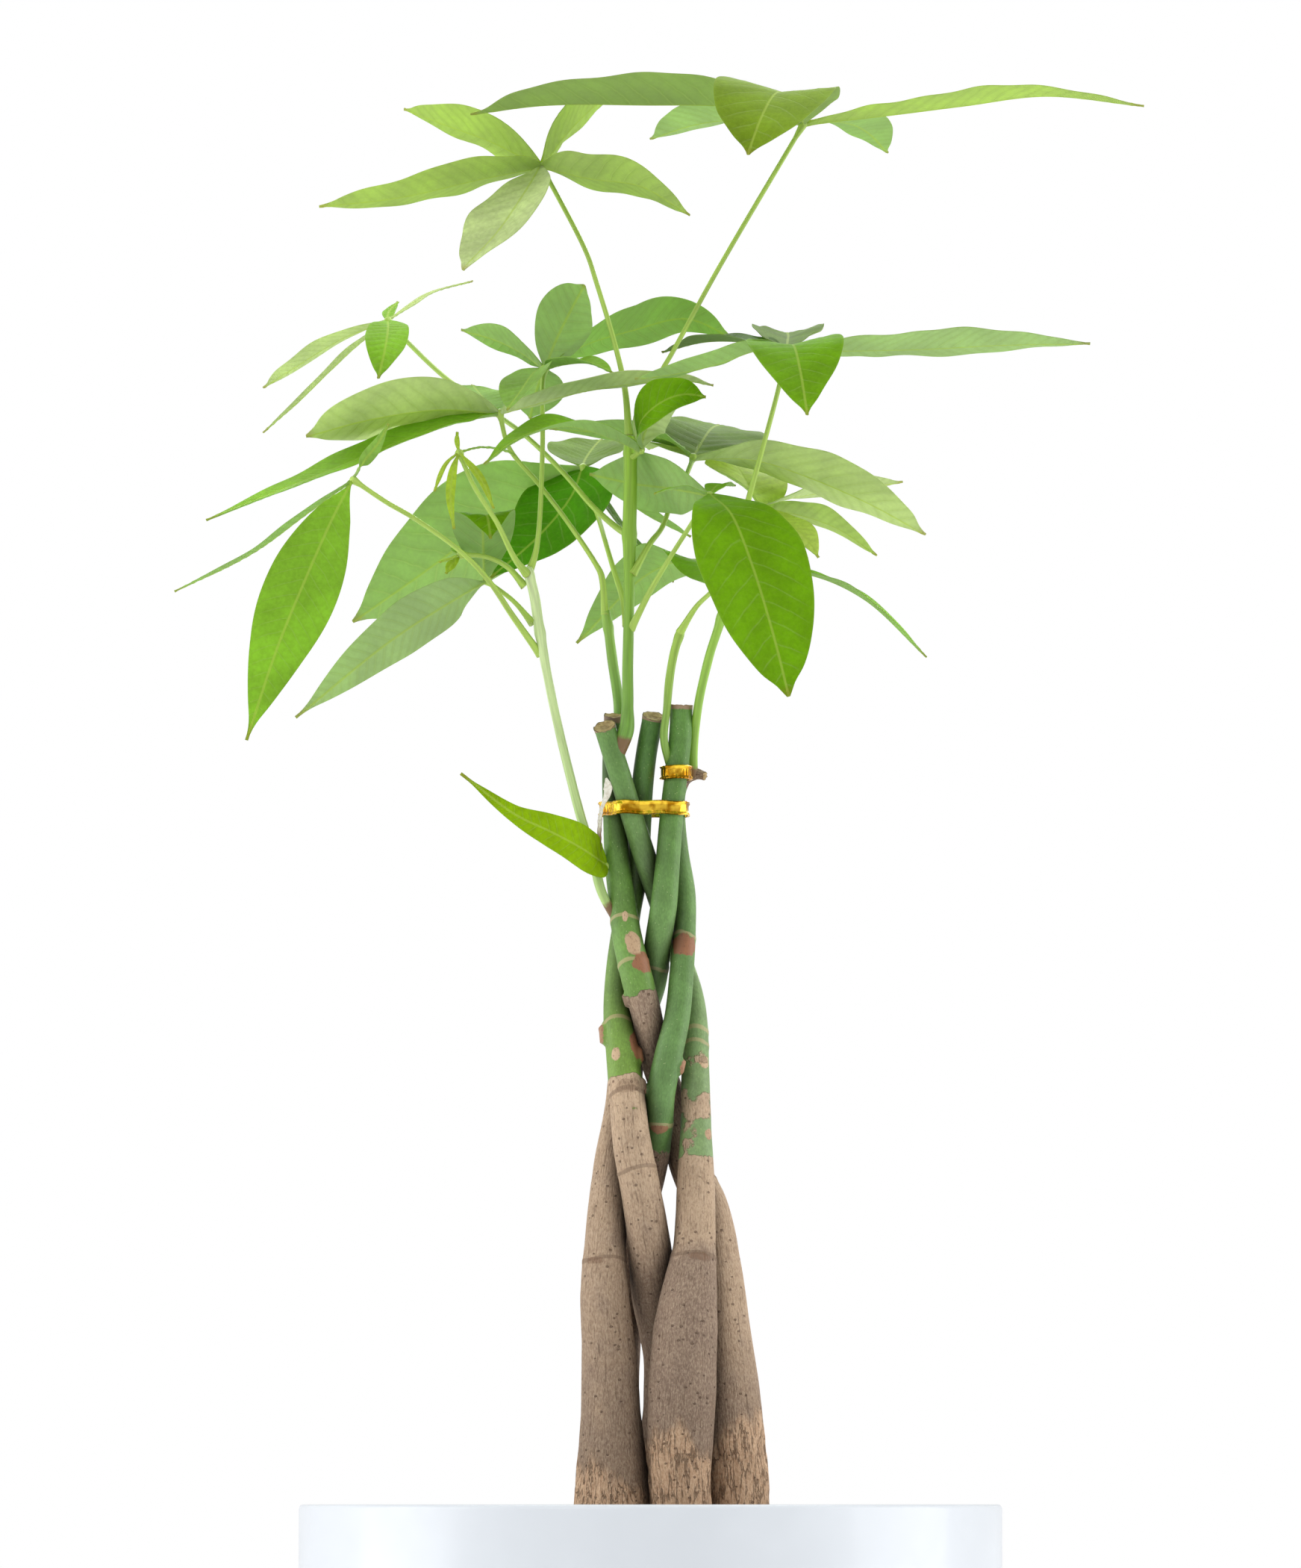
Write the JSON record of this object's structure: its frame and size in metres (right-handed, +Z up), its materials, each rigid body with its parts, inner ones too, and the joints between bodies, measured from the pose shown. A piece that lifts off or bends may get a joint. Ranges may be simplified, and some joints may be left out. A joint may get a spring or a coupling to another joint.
{
  "type": "potted plant",
  "caption": "Money tree with a braided trunk of slender stems and palmate leaves on thin stalks, standing in soil in a plain white cylindrical pot.",
  "frame": {"origin": "centre of the pot's flat base, on the surface it stands on", "axes": "+Z up along the pot's axis; the side seen in the picture looks along -Y, with +X to its right"},
  "size_m": [0.2463, 0.178, 0.5348],
  "materials": {
    "pot_glaze": "smooth satin glaze",
    "soil": "loose dark potting mix",
    "bark": "fissured bark, green near the top",
    "green_shoot": "smooth young shoot",
    "leaf": "soft satin, veined",
    "gold_foil": "crimped glossy foil",
    "pale_paper": "matt"
  },
  "bodies": {
    "root": {"pot": "pot_glaze", "soil": "soil", "stem_left": "bark", "stem_back": "bark", "stem_front": "bark", "stem_right": "bark", "stem_hidden": "bark", "shoot_tall": "green_shoot", "shoot_left": "green_shoot", "shoot_short": "green_shoot", "shoot_middle": "green_shoot", "shoot_right": "green_shoot", "tie_lower": "gold_foil", "tie_upper": "gold_foil", "tie_tail": "pale_paper", "leaf_crown_right": "leaf", "leaf_crown_left": "leaf", "leaf_back_left": "leaf", "leaf_left_upper": "leaf", "leaf_right_upper": "leaf", "leaf_centre_upper": "leaf", "leaf_shoot_tip": "leaf", "leaf_centre_back": "leaf", "leaf_left_lower": "leaf", "leaf_bud_left": "leaf", "leaf_young_left": "leaf", "leaf_right_middle": "leaf", "leaf_front_hanging": "leaf", "leaf_right_lower": "leaf", "leaf_behind": "leaf", "leaf_left_hanging": "leaf", "leaf_single_low": "leaf"}
  },
  "joints": []
}
